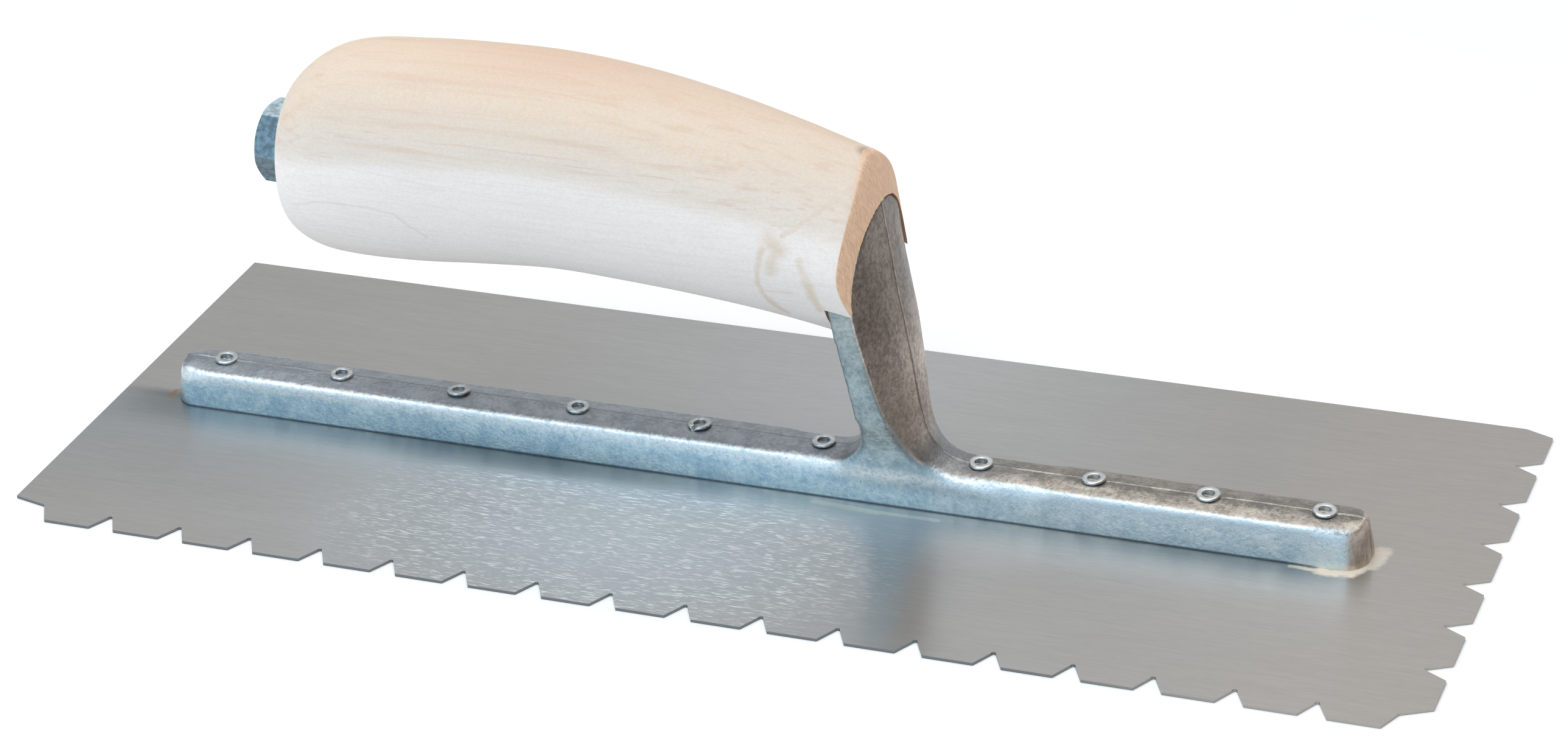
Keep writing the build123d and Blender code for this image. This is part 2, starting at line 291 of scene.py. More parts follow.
# Painted shade where the casting's foot meets the blade.
FOOT_CONTACT_SHADE = rgb(0.08, 0.11, 0.14)

ZINC = (0.44, 0.57, 0.64)
RING_DARK = rgb(0.46, 0.49, 0.50)
RING_LIGHT = rgb(0.60, 0.64, 0.65)
RING_BRIGHT = rgb(0.86, 0.88, 0.88)
# Painted shade inside the rings' hollows.
RING_HOLLOW_SHADE = rgb(0.12, 0.15, 0.16)
RING_RUST = rgb(0.62, 0.42, 0.22)

WOOD_LOW = rgb(0.90, 0.825, 0.775)
WOOD_MIDDLE = rgb(0.80, 0.71, 0.625)
WOOD_UPPER = rgb(0.78, 0.64, 0.515)
WOOD_CROWN = rgb(0.73, 0.54, 0.405)
WOOD_STREAK = rgb(0.70, 0.48, 0.35)
WOOD_LINE = rgb(0.60, 0.44, 0.34)
WOOD_FIBRE = rgb(0.66, 0.56, 0.48)
WOOD_KNOT = rgb(0.74, 0.59, 0.455)
WOOD_GRAIN = rgb(0.68, 0.61, 0.55)
WOOD_FIGURE = rgb(0.79, 0.585, 0.38)
WOOD_CREST = rgb(0.74, 0.52, 0.36)
WOOD_SMUDGE = rgb(0.33, 0.27, 0.21)
WOOD_POCKET = rgb(0.62, 0.33, 0.18)
END_GRAIN = (rgb(0.86, 0.53, 0.345), rgb(1.0, 0.70, 0.48))
END_RING = rgb(0.50, 0.28, 0.16)

FLOOR_GREYS = (rgb(0.93, 0.93, 0.93), rgb(0.96, 0.96, 0.96))
WORLD_HORIZON = rgb(0.42, 0.42, 0.42)
WORLD_ABOVE = rgb(1.0, 1.0, 1.0)
WORLD_FRONT = rgb(0.64, 0.86, 1.04)
WORLD_RIGHT = rgb(0.26, 0.21, 0.18)

# ---------------------------------------------------------------- marks, in millimetres

# On the blade, as x and y: start, end, half width.
GLUE_STROKES = [
    ((104, -7.0), (111, -7.2), 1.2),
    ((110, -7.2), (115, -6.6), 3.0),
    ((115, -6.4), (118, -3.0), 2.6),
    ((118, -3.0), (119.0, 2.5), 3.4),
]
SMEAR_STROKES = [
    ((11, -8.2), (24, -9.1), 1.5),
    ((22, -8.9), (36, -8.8), 1.1),
]
SCRATCH = ((-62.5, -24.2), (-43.5, -28.4), 0.35)
RUST_STROKE = ((-129.4, -3.5), (-129.2, -1.0), 1.1)
# In the last rivet's hollow and on the handle's top front edge, as x and y.
HOLLOW_RUST = ((108.69, -0.1), (108.69, 0.1), 2.0)
TOP_SMUDGE = ((21.2, -0.2), (21.4, 1.2), 1.9)
# In the wood on the handle's -Y side, as x and z: start, end, half width, strength.
KNOT_STROKES = [
    ((21.5, 68.4), (16.7, 65.7), 0.7, 0.5),
    ((16.7, 65.7), (10.8, 61.3), 0.8, 0.6),
    ((7.9, 60.8), (10.4, 58.8), 2.6, 0.75),
    ((9.4, 58.5), (8.4, 54.8), 2.1, 0.75),
    ((7.2, 59.0), (5.8, 54.3), 1.0, 0.7),
    ((5.8, 54.3), (5.5, 50.8), 0.8, 0.8),
    ((5.5, 50.8), (6.3, 47.5), 0.9, 0.85),
    ((6.3, 47.5), (9.4, 43.6), 1.2, 0.8),
    ((6.6, 49.8), (12.5, 50.2), 0.6, 0.45),
    ((14.2, 57.2), (15.8, 52.3), 1.3, 0.55),
    ((15.8, 52.3), (17.0, 46.8), 1.7, 0.8),
]
GRAIN_STROKES = [
    ((-89.7, 55.2), (-82.5, 57.0), 0.4, 0.35),
    ((-82.5, 57.0), (-73.4, 57.3), 0.4, 0.35),
    ((-73.4, 57.3), (-67.7, 56.5), 0.4, 0.4),
    ((-67.7, 56.5), (-61.5, 51.8), 0.6, 0.4),
    ((-76.5, 65.0), (-53.5, 63.8), 0.3, 0.2),
    ((-53.5, 63.8), (-27.8, 60.7), 0.3, 0.15),
]

# ---------------------------------------------------------------- materials


def new_material(name):
    material = bpy.data.materials.new(name)
    material.use_nodes = True
    graph = Graph(material.node_tree)
    surface = graph.node("BsdfPrincipled")
    output = graph.node("OutputMaterial")
    graph.tree.links.new(surface.outputs[0], output.inputs["Surface"])
    return material, graph, surface


def finish_surface(graph, surface, **inputs):
    for name, value in inputs.items():
        graph.feed(surface.inputs[name.replace("_", " ")], value)


def steel_tones(g, x, y):
    """The blade's broad tones with painted shade in front of the rib, and where the painted sheen
    lies in its front half.
    """
    cloud = g.noise((0.02, 0.06, 1), 3, 0.55, (3, 8, 0))
    base = g.mix(cloud, STEEL_DARK, STEEL_LIGHT)
    base = g.mix(g.ramp(x, 0, 60), base, g.tint(base, 0.84))
    base = g.mix(g.ramp(x, 60, 125, 0.0, 0.7), base, STEEL_WARM)
    back = g.times(g.ramp(y, 0, 14), g.line(x, 0, 90))
    base = g.mix(g.times(back, 0.6), base, STEEL_COOL)
    # Painted shade on the blade in front of the rib, fading away from the post and towards the ends.
    rib_shade = g.times(g.ramp(y, -17, -6.5), g.ramp(y, 0, -3))
    rib_shade = g.times(rib_shade, g.times(g.ramp(x, -146, -126), g.ramp(x, 122, 108)))
    from_post = g.math("ABSOLUTE", g.plus(x, -20.0))
    rib_shade = g.times(rib_shade, g.ramp(from_post, 15, 70, 0.4, 0.95))
    base = g.mix(rib_shade, base, STEEL_SHADE_BY_RIB)
    corner = g.times(g.ramp(x, -50, -125), g.ramp(y, -50, -12), g.ramp(y, 0, -6))
    base = g.mix(g.times(corner, 0.5), base, STEEL_CORNER)
    # Painted sheen: a paler blue-white patch of reflected light in the middle of the front half.
    painted_sheen = g.times(g.line(x, -22, 82), g.line(y, -34, 42), g.ramp(rib_shade, 0.6, 0.0))
    return g.mix(g.times(painted_sheen, 0.8), base, STEEL_PAINTED_SHEEN), painted_sheen


def dried_on_blade(g, base, x, y):
    """The adhesive, smear and rust beside the casting, and how much of it is adhesive."""
    crust = g.noise((0.5, 0.7, 1), 3, 0.6, (1, 1, 0))
    glue = g.plus(g.strokes(x, y, GLUE_STROKES), g.times(crust, 1.1))
    thinner = g.times(g.ramp(x, 104, 110, 0.4, 0.9), g.ramp(x, 116, 119, 1.0, 0.45))
    glue = g.times(g.ramp(glue, 0.75, 1.5), thinner)
    base = g.mix(glue, base, GLUE)
    smear = g.plus(g.strokes(x, y, SMEAR_STROKES), g.times(crust, 0.9))
    base = g.mix(g.ramp(smear, 0.75, 1.15, 0.0, 0.7), base, SMEAR)
    rust = g.stroke(x, y, *RUST_STROKE)
    return g.mix(g.times(rust, 0.7), base, BLADE_RUST), glue


def blade_steel():
    """Rolled spring steel, brushed along its length, with adhesive left beside the casting."""
    material, g, surface = new_material("blade_steel")
    x, y, _ = g.axes(g.place())
    grain = g.noise((0.45, 4.5, 1), 2, 0.6)
    fibres = g.noise((0.1, 2.2, 1), 2, 0.5, (7, 3, 0))
    base, painted_sheen = steel_tones(g, x, y)
    coarse, fine = (g.ramp(value, 0.25, 0.75, 0.965, 1.035) for value in (grain, fibres))
    base = g.tint(base, g.times(coarse, fine))
    # The brushing dashes are real marks. Their near-white brightness is a painted glint, and it is
    # kept to the painted sheen.
    short = g.ramp(g.noise((0.5, 4.4, 1), 1, 0.4, (2, 9, 0)), 0.58, 0.70)
    longer = g.ramp(g.noise((0.26, 3.2, 1), 1, 0.4, (6, 2, 0)), 0.64, 0.74)
    painted_glints = g.times(g.math("MAXIMUM", short, longer), g.ramp(painted_sheen, 0.1, 0.55))
    base = g.mix(g.times(painted_glints, 0.9), base, STEEL_PAINTED_GLINT)
    scratch = g.stroke(x, y, *SCRATCH)
    base = g.mix(g.times(scratch, 0.35), base, STEEL_SCRATCH)
    base, glue = dried_on_blade(g, base, x, y)
    # Painted shade: faces turned sideways, which are the blade's cut edges, are painted darker.
    edge = g.mix(g.ramp(x, 60, 125), STEEL_EDGE_SHADE_LEFT, STEEL_EDGE_SHADE_RIGHT)
    base = g.mix(g.ramp(g.facing()[2], 0.6, 0.3), base, edge)
    rough = g.plus(g.times(glue, 0.4), 0.295)
    metal = g.minus(1.0, glue)
    normal = g.bump(g.plus(grain, g.times(fibres, 0.6)), 0.001)
    across = g.node("CombineXYZ", {0: 0.0, 1: 1.0, 2: 0.0}).outputs[0]
    finish_surface(g, surface, Base_Color=base, Metallic=metal, Roughness=rough, Normal=normal)
    finish_surface(g, surface, Anisotropic=0.85, Tangent=across)
    return material


def raw_casting(g, y, z, tone, grit, right, high):
    """As-cast skin: blue-grey on the rib's left, brown on its right and on the post."""
    behind = g.ramp(y, 0.2, 0.9)
    raw = g.mix(right, RAW_LEFT, RAW_RIGHT)
    raw = g.tint(raw, g.ramp(behind, 0, 1, 1.0, 1.25))
    face = g.mix(g.ramp(z, 18, 44), RAW_POST_FOOT, RAW_POST_TOP)
    raw = g.mix(high, raw, g.tint(face, g.ramp(behind, 0, 1, 1.0, 0.94)))
    raw = g.tint(raw, g.ramp(tone, 0, 1, 0.84, 1.14))
    speckle = g.times(high, g.ramp(grit, 0.35, 0.65, -0.16, 0.14))
    return g.tint(raw, g.plus(speckle, 1.0))


def ground_casting(g, x, z, tone, right, high):
    """The ground flanks: bright metal with a painted blue-white reflection of the cool light in
    front on the rib, greyer on the post, with painted shade under it.
    """
    bright = g.mix(tone, *GROUND_LEFT)
    bright = g.mix(g.times(right, 0.8), bright, g.mix(tone, *GROUND_RIGHT))
    bright = g.tint(bright, g.ramp(x, 0, 90, 0.95, 1.15))
    bright = g.mix(g.times(high, 0.8), bright, g.mix(tone, *GROUND_POST))
    # Painted shade on the rib's flanks under the post.
    shade_under_post = g.times(g.line(x, 32, 28), g.ramp(z, 1.5, 7))
    return g.tint(bright, g.ramp(shade_under_post, 0, 1, 1.0, 0.8))


def parting_line(g, base, y, z, blotch, high):
    """A rusty line with a pale one beside it up the post, and a thin seam along the rib."""
    wander = g.plus(y, g.sway(blotch, 0.8))
    rusty = g.times(g.line(wander, -0.12, 0.36), high)
    base = g.mix(g.times(rusty, g.ramp(blotch, 0.4, 0.6, 0.45, 0.9)), base, PARTING_RUST)
    pale = g.times(g.line(wander, 0.4, 0.34), high)
    base = g.mix(g.times(pale, 0.55), base, PARTING_LIGHT)
    seam = g.times(g.line(wander, 0.35, 0.3), g.ramp(z, 9.6, 8.8, 0.0, 0.6))
    return g.mix(seam, base, RIB_SEAM)


def rib_ends(g, base, x, z, grit, facing):
    """Adhesive and streaks at the rib's right end, rust at its left, and painted shade along the
    foot between, where it meets the blade.
    """
    crust = g.times(g.ramp(x, 104, 117), g.ramp(z, 2.0, 0.7))
    base = g.mix(g.times(crust, g.ramp(grit, 0.4, 0.6)), base, END_CRUST)
    streak = g.ramp(g.noise((1.2, 1.2, 0.12), 3, 0.6, (7, 7, 2)), 0.38, 0.62)
    tip = g.times(g.ramp(facing[0], 0.2, 0.5), g.ramp(x, 108, 112))
    base = g.mix(tip, base, g.mix(streak, *RIB_TIP))
    rust = g.times(g.ramp(x, -124, -127.5), g.ramp(z, 4.0, 0.8))
    base = g.mix(g.times(rust, g.ramp(grit, 0.4, 0.6, 0.1, 0.8)), base, RIB_RUST)
    # Painted shade: a dark strip low on the casting, where it meets the blade.
    foot = g.times(g.ramp(z, 1.15, 0.75), g.ramp(x, 110, 104))
    return g.mix(g.times(foot, 0.85), base, FOOT_CONTACT_SHADE)


def cast_aluminium():
    """Sand-cast aluminium: ground bright on its long sides, left brown-grey elsewhere."""
    material, g, surface = new_material("cast_aluminium")
    x, y, z = g.axes(g.place())
    facing = g.facing("Normal")
    blotch = g.noise((0.25, 0.25, 0.25), 5, 0.7)
    grit = g.noise((1.1, 1.1, 1.1), 5, 0.75, (4, 4, 4))
    pits = g.noise((1.8, 1.8, 1.8), 2, 0.5, (9, 1, 2))
    tone = g.ramp(g.plus(g.times(blotch, 0.5), g.times(grit, 0.5)), 0.36, 0.64)
    flank = g.math("ABSOLUTE", facing[1])
    side = g.plus(flank, g.sway(grit, 0.35))
    right = g.ramp(x, 20, 60)
    high = g.ramp(z, 9.5, 18)
    post = g.ramp(z, 9.5, 11.5)
    ground = g.mix(g.ramp(x, 106, 110), g.ramp(side, 0.28, 0.62), g.ramp(flank, 0.82, 0.92))
    ground = g.mix(post, ground, g.ramp(flank, 0.6, 0.74))
    raw = raw_casting(g, y, z, tone, grit, right, high)
    base = g.mix(ground, raw, ground_casting(g, x, z, tone, right, high))
    # Painted highlight: a broken, near-white band along the rounded shoulder of the flanks.
    broken = g.ramp(grit, 0.35, 0.6, 0.4, 1.0)
    shoulder_highlight = g.times(g.ramp(side, 0.25, 0.6), g.line(z, 7.2, 2.4), broken)
    base = g.mix(shoulder_highlight, base, g.mix(right, SHOULDER_HIGHLIGHT_LEFT, SHOULDER_HIGHLIGHT_RIGHT))
    # Painted highlight: a warm beige band along the top front edge on the rib's right half.
    upper = g.times(g.line(side, 0.3, 0.24), g.ramp(z, 7.2, 8.2), right, g.ramp(z, 10.5, 9.2))
    base = g.mix(g.times(upper, g.ramp(tone, 0, 1, 0.4, 1.0)), base, UPPER_EDGE_HIGHLIGHT)
    # Painted shade: the shoulder's top is painted darker where the lamp's glare falls, a little on
    # the left and more on the right.
    glare_shade = g.times(g.line(side, 0.62, 0.5), g.line(z, 8.0, 1.1), g.ramp(right, 0, 1, 0.1, 0.3))
    base = g.tint(base, g.minus(1.0, glare_shade))
    patches = g.times(right, g.ramp(blotch, 0.5, 0.62), g.ramp(facing[2], 0.5, 0.9))
    base = g.mix(g.times(patches, 0.3), base, TOP_PATCH)
    # Painted highlight: a pale line where the post's flank turns away from its ground face.
    rim = g.times(g.line(flank, 0.66, 0.22), post, g.ramp(grit, 0.3, 0.6, 0.5, 1.0))
    base = g.mix(rim, base, POST_RIM_HIGHLIGHT)
    base = parting_line(g, base, y, z, blotch, high)
    base = g.mix(g.ramp(pits, 0.68, 0.75, 0.0, 0.5), base, CAST_PIT)
    base = rib_ends(g, base, x, z, grit, facing)
    rough = g.ramp(tone, 0, 1, 0.46, 0.36)
    height = g.plus(g.times(blotch, 1.2), g.plus(grit, g.times(pits, 0.4)))
    normal = g.bump(g.times(height, g.ramp(high, 0, 1, 1.0, 0.5)), 0.12)
    finish_surface(g, surface, Base_Color=base, Metallic=1.0, Roughness=rough, Normal=normal)
    return material


def zinc_plate(name, tint):
    """Zinc-plated steel: blue-white and finely mottled, with painted light that makes faces turned
    up lightest.
    """
    material, g, surface = new_material(name)
    mottle = g.noise((0.8, 0.8, 0.8), 4, 0.6, (5, 2, 8))
    fine = g.noise((5, 5, 5), 2, 0.5)
    dark, light = (rgb(*[part * share for part in tint]) for share in (0.6, 1.05))
    base = g.mix(g.ramp(mottle, 0.35, 0.65), dark, light)
    # Painted light: faces turned up are painted lighter, and faces turned sideways darker.
    base = g.tint(base, g.ramp(g.facing()[2], 0.5, 0.95, 0.7, 1.65))
    rough = g.ramp(fine, 0.3, 0.7, 0.2, 0.34)
    normal = g.bump(fine, 0.02)
    finish_surface(g, surface, Base_Color=base, Metallic=1.0, Roughness=rough, Normal=normal)
    return material


def rivet_metal():
    """Plated rivet steel: painted shade in the hollows, brighter to the right, rust in the last one.
    """
    material, g, surface = new_material("rivet_metal")
    x, y, z = g.axes(g.place())
    mottle = g.noise((1.4, 1.4, 1.4), 3, 0.6, (2, 6, 1))
    base = g.mix(g.ramp(mottle, 0.35, 0.65), RING_DARK, RING_LIGHT)
    base = g.mix(g.ramp(x, 0, 60, 0.0, 0.5), base, RING_BRIGHT)
    # Painted shade: the rings' hollows are painted dark, less so towards the right.
    hollow_shade = g.times(g.ramp(z, 9.2, 8.7, 0.0, 0.6), g.ramp(x, 0, 80, 1.0, 0.3))
    base = g.mix(hollow_shade, base, RING_HOLLOW_SHADE)
    rust = g.stroke(x, y, *HOLLOW_RUST)
    base = g.mix(g.ramp(rust, 0.45, 0.7, 0.0, 0.9), base, RING_RUST)
    rough = g.ramp(mottle, 0.3, 0.7, 0.2, 0.36)
    normal = g.bump(g.noise((2, 2, 2), 2, 0.5), 0.02)
    finish_surface(g, surface, Base_Color=base, Metallic=1.0, Roughness=rough, Normal=normal)
    return material


def wood_tones(g, x, height, fibre):
    """Almost white below a wavy level, then peach, darkest along the crown."""
    pale = g.tint(WOOD_LOW, g.ramp(x, -60, -90, 1.0, 1.06))
    base = g.mix(g.ramp(height, 65.8, 69.6), pale, WOOD_MIDDLE)
    base = g.mix(g.ramp(height, 68, 79), base, WOOD_UPPER)
    crown = g.times(g.ramp(height, 78, 85), g.ramp(x, -85, -35, 0.35, 1.0))
    base = g.mix(crown, base, WOOD_CROWN)
    streaks = g.noise((0.012, 0.55, 0.55), 3, 0.55, (8, 2, 5))
    streaks = g.times(g.ramp(height, 66.5, 71), g.ramp(streaks, 0.48, 0.72, 0.0, 0.45))
    base = g.mix(streaks, base, WOOD_STREAK)
    lines = g.ramp(g.noise((0.022, 1.3, 1.3), 2, 0.5, (4, 4, 9)), 0.58, 0.68)
    lines = g.times(lines, g.line(height, 71.5, 6.5), 0.28)
    base = g.mix(lines, base, WOOD_LINE)
    return g.mix(g.ramp(fibre, 0.4, 0.7, 0.0, 0.16), base, WOOD_FIBRE)


def wood_figure(g, base, x, y, z):
    """Curly figure: a row of small tan arcs along the upper near side, under a wavy line."""
    wave = g.noise((0.22, 0.22, 0.22), 2, 0.5, (12, 1, 4))
    offset = g.sway(wave, 3.0)
    level = g.plus(g.times(g.plus(y, 11.4), 0.42), g.times(offset, 0.25))
    bend = g.times(level, level, 1.7)
    phase = g.times(g.plus(x, bend, offset), 0.45)
    arcs = g.line(g.math("FRACT", phase), 0.5, 0.24)
    present = g.ramp(g.noise((0.16, 0.3, 0.3), 1, 0.5, (5, 5, 1)), 0.42, 0.6)
    upper = g.ramp(z, 68, 72)
    arcs = g.times(arcs, present, g.ramp(level, 0.0, 1.4, 1.0, 0.0), g.line(level, 0.0, 1.5), upper)
    base = g.mix(g.times(arcs, 0.5), base, WOOD_FIGURE)
    crest = g.plus(y, g.times(offset, 0.3))
    crest = g.times(g.line(crest, -8.9, 0.4), g.times(g.line(x, -35, 30), upper))
    return g.mix(g.times(crest, 0.6), base, WOOD_CREST)


def wood_marks(g, base, x, y, z, drift):
    """The knot and grain marks on the near side, and the smudge on the top front edge."""
    near = g.ramp(y, -4, -10)
    shake = g.noise((0.35, 0.35, 0.35), 2, 0.5, (6, 6, 2))
    across = g.plus(x, g.sway(shake, 2.0))
    up = g.plus(z, g.sway(drift, 2.0))
    uneven = g.ramp(shake, 0.3, 0.6, 0.7, 1.0)
    for strokes, colour in ((KNOT_STROKES, WOOD_KNOT), (GRAIN_STROKES, WOOD_GRAIN)):
        marks = 0.0
        for start, end, width, strength in strokes:
            mark = g.times(g.stroke(across, up, start, end, width), strength)
            marks = g.math("MAXIMUM", marks, mark)
        base = g.mix(g.times(marks, near, uneven), base, colour)
    smudge = g.times(g.stroke(x, y, *TOP_SMUDGE), g.ramp(z, 66, 69))
    return g.mix(g.times(smudge, 0.75), base, WOOD_SMUDGE)


def end_grain(g, y, z, drift, sawn):
    """The colour of the dressed front end, with faint slanting rings."""
    shade = g.noise((0.4, 0.5, 0.5), 2, 0.5, (3, 3, 3))
    level = g.plus(g.times(y, 0.8), g.times(z, 0.6))
    level = g.plus(g.times(level, 0.55), g.times(drift, 0.8))
    rings = g.times(g.line(g.math("FRACT", level), 0.5, 0.09), g.ramp(shade, 0.4, 0.6, 0.05, 0.35))
    return g.mix(rings, g.mix(g.ramp(sawn, 0.3, 0.7), *END_GRAIN), END_RING)


def handle_wood():
    """Pale maple: peach above, almost white below, with curly figure and torn end grain."""
    material, g, surface = new_material("handle_wood")
    x, y, z = g.axes(g.place())
    facing = g.facing()
    drift = g.noise((0.03, 0.15, 0.15), 3, 0.5)
    bow = g.times(g.math("POWER", g.plus(x, 45.0), 2.0), 0.0016)
    height = g.plus(z, bow, g.sway(drift, 3.0))
    fibre = g.noise((0.06, 2.4, 2.4), 3, 0.6, (1, 5, 2))
    base = wood_tones(g, x, height, fibre)
    base = wood_figure(g, base, x, y, z)
    base = wood_marks(g, base, x, y, z, drift)
    sawn = g.noise((1.5, 2.6, 0.5), 3, 0.6)
    cut = g.ramp(facing[0], 0.35, 0.6)
    base = g.mix(cut, base, end_grain(g, y, z, drift, sawn))
    lean = g.times(facing[2], g.math("MAXIMUM", g.minus(z, POCKET_SPRING), 0.0))
    inward = g.plus(g.times(facing[1], y), lean)
    inside = g.times(g.ramp(x, 17.5, 19), g.ramp(g.math("ABSOLUTE", facing[0]), 0.5, 0.2))
    inside = g.times(inside, g.ramp(inward, 0.0, -2.0), g.pocket_depth(y, z))
    base = g.mix(inside, base, WOOD_POCKET)
    specks = g.noise((1.7, 2.4, 2.4), 2, 0.6, (11, 3, 6))
    base = g.tint(base, g.ramp(specks, 0.3, 0.7, 0.965, 1.03))
    normal = g.bump(g.plus(fibre, g.times(sawn, cut, 3.0)), 0.03)
    finish_surface(g, surface, Base_Color=base, Roughness=0.55, Normal=normal)
    surface.inputs["Specular IOR Level"].default_value = 0.3
    return material


# ---------------------------------------------------------------- meshes


def mesh_object(name, vertices, faces, material):
    mesh = bpy.data.meshes.new(name)
    mesh.from_pydata([tuple(v) for v in vertices], [], faces)
    mesh.validate()
    mesh.materials.append(material)
    made = bpy.data.objects.new(name, mesh)
    bpy.context.scene.collection.objects.link(made)
    return made


def baked(obj, name, material):
    """A new object holding obj's mesh with its modifiers applied, in place of obj."""
    graph = bpy.context.evaluated_depsgraph_get()
    mesh = bpy.data.meshes.new_from_object(obj.evaluated_get(graph))
    bpy.data.objects.remove(obj)
    made = bpy.data.objects.new(name, mesh)
    mesh.name = name
    mesh.materials.clear()
    mesh.materials.append(material)
    bpy.context.scene.collection.objects.link(made)
    return made


def cad_copy(node, name):
    made = bpy.data.objects.new(name, nodes[node].data.copy())
    bpy.context.scene.collection.objects.link(made)
    return made


def coordinates(mesh):
    flat = np.empty(len(mesh.vertices) * 3)
    mesh.vertices.foreach_get("co", flat)
    return flat.reshape(-1, 3)


def set_coordinates(mesh, points):
    mesh.vertices.foreach_set("co", points.ravel())
    mesh.update()


def normals(mesh):
    flat = np.empty(len(mesh.vertices) * 3)
    mesh.vertex_normals.foreach_get("vector", flat)
    return flat.reshape(-1, 3)


def noise_at(points, stretch, offset=0.0):
    """Noise from -1 to 1 at points given in metres, one feature per millimetre times stretch."""
    scaled = points / MM * np.array(stretch) + offset
    return np.array([noise.noise(Vector(p)) for p in scaled])


def smooth(obj):
    obj.data.polygons.foreach_set("use_smooth", [True] * len(obj.data.polygons))
    obj.data.update()


def ride(obj, slot, *replaced):
    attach(obj, "root")
    if replaced:
        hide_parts(*replaced)


# ---------------------------------------------------------------- mounting

RIVET_LEFT = [-117.4 + 25.54 * i for i in range(6)]
RIVET_RIGHT = [42.0 + 22.23 * i for i in range(4)]
BLADE_TOP = 0.6
# Plugs that close the rivet holes in the casting's skin, under the rings.
PLUG_RADIUS = 2.75
PLUG_MIDDLE = 6.6
PLUG_DEPTH = 4.5
# Points within the tolerance of the blade's top are pushed this low before the casting is
# remeshed at the voxel size and rounded. Its foot is then cut flat at the blade.
FOOT_TOLERANCE = 0.05
FOOT_BELOW = -2.0
VOXEL = 0.42
ROUNDING_STEPS = 8
# The parting line's ridge: where it runs, cuts beside it, half width, height and variation.
FLASH_Y = 0.35
FLASH_CUTS = (-0.34, -0.14, 0.0, 0.14, 0.34)
FLASH_WIDTH = 0.22
FLASH_HEIGHT = 0.16
FLASH_VARIATION = 0.1
# The uneven skin's broad and small lumps: stretch, offset and height. They fade out over
# this height above the blade.
SKIN_LUMPS = (((0.12, 0.12, 0.12), 0.0, 0.05), ((0.5, 0.5, 0.5), 5, 0.035))
SKIN_FADE = 0.6
# Each smoothing step moves a point this share of the way to its neighbours' mean.
SOFT_STEP = 0.6
# Where the casting is softened: the hollow under the post and the rib's two ends, each as
# its low corner, its high corner, how far in it fades, and how many smoothing steps.
SOFT_BOXES = [
    ((2.0, -20.0, 3.5), (58.0, 20.0, 22.0), 3.0, 40),
    ((107.0, -14.0, 2.0), (130.0, 14.0, 16.0), 2.5, 30),
    ((-140.0, -14.0, 2.0), (-119.5, 14.0, 16.0), 2.5, 30),
]


def soften_box(mesh, low, high, fade, steps):
    """Rounds what lies in a box by moving points towards their neighbours' mean."""
    points = coordinates(mesh)
    ends = np.empty(len(mesh.edges) * 2, int)
    mesh.edges.foreach_get("vertices", ends)
    first, second = ends.reshape(-1, 2).T
    count = np.bincount(np.concatenate([first, second]), minlength=len(points))[:, None]
    inside = np.minimum(points / MM - low, high - points / MM) / fade
    weight = np.clip(inside.min(axis=1), 0, 1)[:, None] * SOFT_STEP
    for _ in range(steps):
        total = np.zeros_like(points)
        np.add.at(total, first, points[second])
        np.add.at(total, second, points[first])
        points += (total / count - points) * weight
    set_coordinates(mesh, points)


def filled_casting():
    """A copy of the casting with its rivet holes plugged and its foot pushed down."""
    raw = cad_copy("mounting", "raw")
    work = bmesh.new()
    work.from_mesh(raw.data)
    size = PLUG_RADIUS * MM
    plug = {"cap_ends": True, "segments": 40, "radius1": size, "radius2": size}
    for x in RIVET_LEFT + RIVET_RIGHT:
        place = Matrix.Translation((x * MM, 0, PLUG_MIDDLE * MM))
        bmesh.ops.create_cone(work, depth=PLUG_DEPTH * MM, matrix=place, **plug)
    for vertex in work.verts:
        if vertex.co.z < (BLADE_TOP + FOOT_TOLERANCE) * MM:
            vertex.co.z = FOOT_BELOW * MM
    work.to_mesh(raw.data)
    work.free()
    return raw


def cut_casting(mesh):
    """Edges for the parting line's ridge, and a flat foot where the casting meets the blade."""
    work = bmesh.new()
    work.from_mesh(mesh)
    for cut in FLASH_CUTS:
        geometry = work.verts[:] + work.edges[:] + work.faces[:]
        plane = (0, (FLASH_Y + cut) * MM, 0)
        bmesh.ops.bisect_plane(work, geom=geometry, plane_co=plane, plane_no=(0, 1, 0))
    geometry = work.verts[:] + work.edges[:] + work.faces[:]
    plane = {"plane_co": (0, 0, BLADE_TOP * MM), "plane_no": (0, 0, 1)}
    foot = bmesh.ops.bisect_plane(work, geom=geometry, clear_inner=True, **plane)
    rim = [edge for edge in foot["geom_cut"] if isinstance(edge, bmesh.types.BMEdge)]
    bmesh.ops.triangle_fill(work, edges=rim, use_beauty=True)
    bmesh.ops.recalc_face_normals(work, faces=work.faces[:])
    work.to_mesh(mesh)
    work.free()


